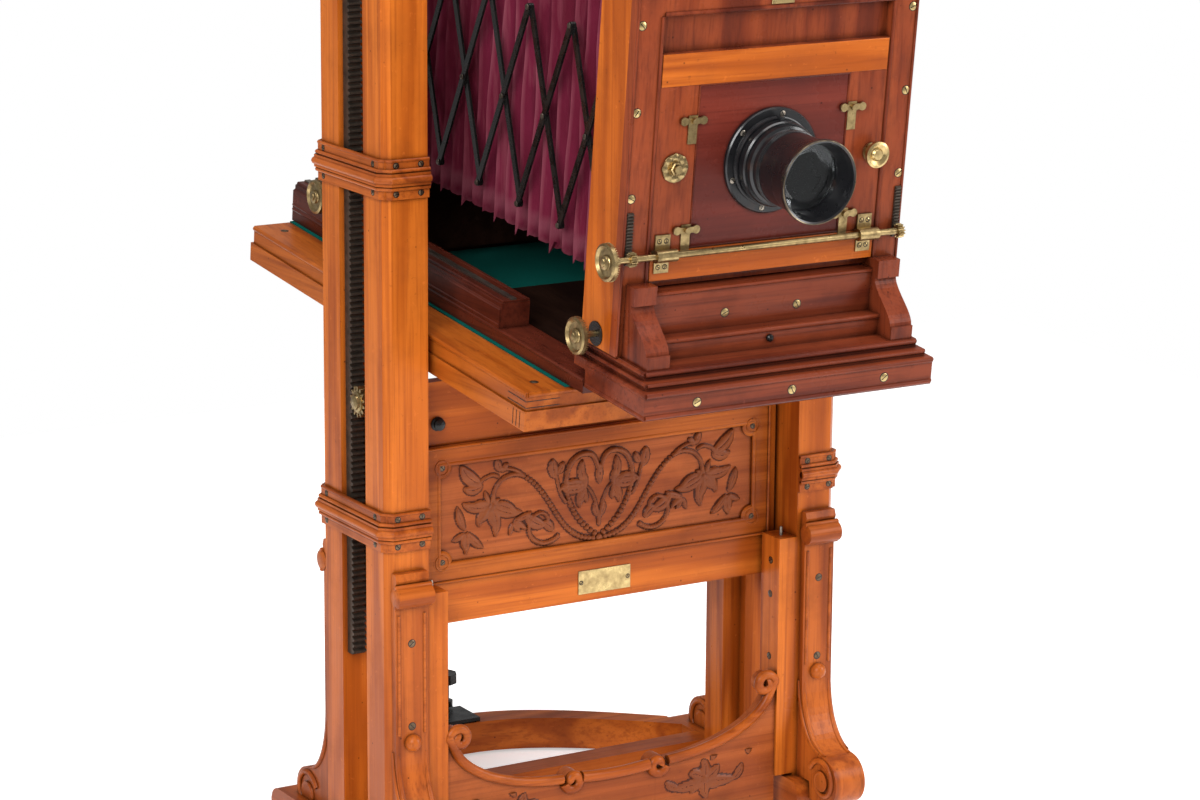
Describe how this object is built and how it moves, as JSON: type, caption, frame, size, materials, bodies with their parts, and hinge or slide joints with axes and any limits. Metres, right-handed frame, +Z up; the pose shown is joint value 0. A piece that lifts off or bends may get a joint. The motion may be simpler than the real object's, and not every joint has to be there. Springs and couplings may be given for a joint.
{
  "type": "studio plate camera on lifting stand",
  "caption": "Studio bellows plate camera on a carved two-column wooden stand with a rack-and-pinion lift, tilting table, sliding rear standard and lazy tongs.",
  "frame": {"origin": "on the floor, under the centre of the bounding box", "axes": "+Z up, lens towards -Y, +X to the right as seen from the lens side"},
  "size_m": [0.6968, 0.9703, 1.412],
  "materials": {
    "light_wood": "French polished, worn at the edges",
    "mahogany": "dark polished",
    "carved_wood": "carved and polished",
    "lens_board_wood": "red-brown polished",
    "brass": "aged, dull",
    "iron": "blackened, rubbed bright on edges",
    "steel": "worn",
    "lens_black": "black lacquer rubbed to brass at the edges",
    "glass": "clear",
    "ground_glass": "ground on one side",
    "baize": "wool baize, matt",
    "bellows_cloth": "worn, creased"
  },
  "bodies": {
    "stand": {"front_posts": "light_wood", "rear_posts": "light_wood", "post_collars": "mahogany", "column_caps": "mahogany", "lift_racks": "iron", "side_feet": "light_wood", "base_beams": "light_wood", "front_apron": "carved_wood", "scroll_brackets": "carved_wood", "guide_battens": "light_wood", "rear_foot_iron": "iron"},
    "foot_screw": {"foot_screw": "iron"},
    "carriage": {"carriage_panel": "carved_wood", "carriage_rails": "light_wood", "carriage_cheeks": "light_wood", "carriage_back": "light_wood", "blank_plate": "brass"},
    "lift_shaft": {"lift_shaft": "steel"},
    "table": {"table_top": "light_wood", "table_frame": "light_wood", "table_baize": "baize", "tilt_irons": "iron", "bed_rails": "mahogany", "bed_boards": "mahogany", "bed_tracks": "steel", "standard_cheeks": "light_wood", "front_frame": "mahogany", "plinth": "mahogany", "ogee_brackets": "mahogany", "front_racks": "iron", "bellows": "bellows_cloth"},
    "tilt_clamp": {"tilt_clamp": "brass"},
    "lock_knob": {"lock_knob": "brass"},
    "rising_panel": {"rising_panel": "light_wood", "lens_board": "lens_board_wood", "panel_brasses": "brass", "lens_flange": "lens_black", "lens_barrel": "lens_black", "lens_glass": "glass"},
    "rise_rod": {"rise_rod": "brass"},
    "panel_knob": {"panel_knob": "brass"},
    "iris_ring": {"iris_ring": "lens_black"},
    "rear_standard": {"rear_standard": "mahogany"},
    "focus_shaft": {"focus_shaft": "brass"},
    "back_frame": {"back_frame": "mahogany", "ground_glass": "ground_glass"},
    "latch_upper_left": {"latch_upper_left": "brass"},
    "latch_upper_right": {"latch_upper_right": "brass"},
    "latch_lower_left": {"latch_lower_left": "brass"},
    "latch_lower_right": {"latch_lower_right": "brass"},
    "tong_a1": {"tong_a1": "iron"},
    "tong_b1": {"tong_b1": "iron"},
    "tong_a2": {"tong_a2": "iron"},
    "tong_b2": {"tong_b2": "iron"},
    "tong_a3": {"tong_a3": "iron"},
    "tong_b3": {"tong_b3": "iron"},
    "tong_a4": {"tong_a4": "iron"},
    "tong_b4": {"tong_b4": "iron"},
    "tong_a5": {"tong_a5": "iron"},
    "tong_b5": {"tong_b5": "iron"}
  },
  "joints": [
    {"name": "lift_slide", "type": "slide", "parent": "stand", "child": "carriage", "axis": [0, 0, 1], "range_m": [-0.18, 0.4]},
    {"name": "lift_shaft_turn", "type": "hinge", "parent": "carriage", "child": "lift_shaft", "pos_m": [0, 0.05053, 0.613], "axis": [1, 0, 0], "range_deg": [-1315, 595]},
    {"name": "table_tilt", "type": "hinge", "parent": "carriage", "child": "table", "pos_m": [0, 0.07237, 0.64993], "axis": [1, 0, 0], "range_deg": [-6, 12]},
    {"name": "tilt_clamp_turn", "type": "hinge", "parent": "carriage", "child": "tilt_clamp", "pos_m": [0, 0.07237, 0.57493], "axis": [1, 0, 0], "range_deg": [-120, 0]},
    {"name": "focus_slide", "type": "slide", "parent": "table", "child": "rear_standard", "axis": [0, 0.9945, 0.1045], "range_m": [-0.1, 0.08], "deforming": ["bellows"]},
    {"name": "focus_shaft_turn", "type": "hinge", "parent": "rear_standard", "child": "focus_shaft", "pos_m": [0, 0.36288, 0.81335], "axis": [1, 0, 0], "range_deg": [-615, 768]},
    {"name": "back_hinge", "type": "hinge", "parent": "rear_standard", "child": "back_frame", "pos_m": [0, 0.37885, 0.86515], "axis": [1, 0, 0], "range_deg": [-85, 0]},
    {"name": "lock_knob_turn", "type": "hinge", "parent": "table", "child": "lock_knob", "pos_m": [0, -0.30566, 0.75479], "axis": [1, 0, 0], "range_deg": [-180, 180]},
    {"name": "panel_rise", "type": "slide", "parent": "table", "child": "rising_panel", "axis": [0, -0.1045, 0.9945], "range_m": [0, 0.04]},
    {"name": "rise_rod_turn", "type": "hinge", "parent": "rising_panel", "child": "rise_rod", "pos_m": [0, -0.37336, 0.85396], "axis": [1, 0, 0], "range_deg": [-308, 0]},
    {"name": "panel_knob_turn", "type": "hinge", "parent": "rising_panel", "child": "panel_knob", "pos_m": [0.143, -0.37356, 0.95398], "axis": [0, -0.9945, -0.1045], "range_deg": [-180, 180]},
    {"name": "iris_turn", "type": "hinge", "parent": "rising_panel", "child": "iris_ring", "pos_m": [0, -0.37347, 0.956], "axis": [0, -0.9945, -0.1045], "range_deg": [-60, 0]},
    {"name": "latch_upper_left_turn", "type": "hinge", "parent": "rising_panel", "child": "latch_upper_left", "pos_m": [-0.111, -0.38091, 1.01153], "axis": [0, -0.9945, -0.1045], "range_deg": [0, 90]},
    {"name": "latch_upper_right_turn", "type": "hinge", "parent": "rising_panel", "child": "latch_upper_right", "pos_m": [0.111, -0.38091, 1.01153], "axis": [0, -0.9945, -0.1045], "range_deg": [-90, 0]},
    {"name": "latch_lower_left_turn", "type": "hinge", "parent": "rising_panel", "child": "latch_lower_left", "pos_m": [-0.111, -0.36722, 0.88125], "axis": [0, -0.9945, -0.1045], "range_deg": [-90, 0]},
    {"name": "latch_lower_right_turn", "type": "hinge", "parent": "rising_panel", "child": "latch_lower_right", "pos_m": [0.111, -0.36722, 0.88125], "axis": [0, -0.9945, -0.1045], "range_deg": [0, 90]},
    {"name": "foot_screw_turn", "type": "hinge", "parent": "stand", "child": "foot_screw", "pos_m": [0, 0.42905, 0], "axis": [0, 0, 1], "range_deg": [-360, 360]},
    {"name": "tong_a1_turn", "type": "hinge", "parent": "table", "child": "tong_a1", "pos_m": [0, -0.26814, 0.84742], "axis": [1, 0, 0], "range_deg": [-3.95, 4.88]},
    {"name": "tong_b1_turn", "type": "hinge", "parent": "tong_a1", "child": "tong_b1", "pos_m": [0, -0.23067, 0.97503], "axis": [1, 0, 0], "range_deg": [-9.76, 7.9]},
    {"name": "tong_b2_turn", "type": "hinge", "parent": "tong_a1", "child": "tong_b2", "pos_m": [0, -0.19321, 1.10265], "axis": [1, 0, 0], "range_deg": [-9.76, 7.9]},
    {"name": "tong_a3_turn", "type": "hinge", "parent": "tong_b2", "child": "tong_a3", "pos_m": [0, -0.06685, 0.86857], "axis": [1, 0, 0], "range_deg": [-7.9, 9.76]},
    {"name": "tong_b4_turn", "type": "hinge", "parent": "tong_a3", "child": "tong_b4", "pos_m": [0, 0.00808, 1.1238], "axis": [1, 0, 0], "range_deg": [-9.76, 7.9]},
    {"name": "tong_a5_turn", "type": "hinge", "parent": "tong_b4", "child": "tong_a5", "pos_m": [0, 0.13444, 0.88973], "axis": [1, 0, 0], "range_deg": [-7.9, 9.76]},
    {"name": "tong_a2_turn", "type": "hinge", "parent": "tong_b1", "child": "tong_a2", "pos_m": [0, -0.1675, 0.858], "axis": [1, 0, 0], "range_deg": [-7.9, 9.76]},
    {"name": "tong_b3_turn", "type": "hinge", "parent": "tong_a2", "child": "tong_b3", "pos_m": [0, -0.09256, 1.11322], "axis": [1, 0, 0], "range_deg": [-9.76, 7.9]},
    {"name": "tong_a4_turn", "type": "hinge", "parent": "tong_b3", "child": "tong_a4", "pos_m": [0, 0.0338, 0.87915], "axis": [1, 0, 0], "range_deg": [-7.9, 9.76]},
    {"name": "tong_b5_turn", "type": "hinge", "parent": "tong_a4", "child": "tong_b5", "pos_m": [0, 0.10873, 1.13438], "axis": [1, 0, 0], "range_deg": [-9.76, 7.9]}
  ],
  "couplings": [
    {"joint": "tong_a1_turn", "follows": "focus_slide", "rad_per_m": -0.811},
    {"joint": "tong_b1_turn", "follows": "focus_slide", "rad_per_m": 1.622},
    {"joint": "tong_b2_turn", "follows": "focus_slide", "rad_per_m": 1.622},
    {"joint": "tong_a3_turn", "follows": "focus_slide", "rad_per_m": -1.622},
    {"joint": "tong_b4_turn", "follows": "focus_slide", "rad_per_m": 1.622},
    {"joint": "tong_a5_turn", "follows": "focus_slide", "rad_per_m": -1.622},
    {"joint": "tong_a2_turn", "follows": "focus_slide", "rad_per_m": -1.622},
    {"joint": "tong_b3_turn", "follows": "focus_slide", "rad_per_m": 1.622},
    {"joint": "tong_a4_turn", "follows": "focus_slide", "rad_per_m": -1.622},
    {"joint": "tong_b5_turn", "follows": "focus_slide", "rad_per_m": 1.622},
    {"joint": "lift_shaft_turn", "follows": "lift_slide", "rad_per_m": -57.143},
    {"joint": "focus_shaft_turn", "follows": "focus_slide", "rad_per_m": -133.33},
    {"joint": "rise_rod_turn", "follows": "panel_rise", "rad_per_m": -133.33}
  ]
}
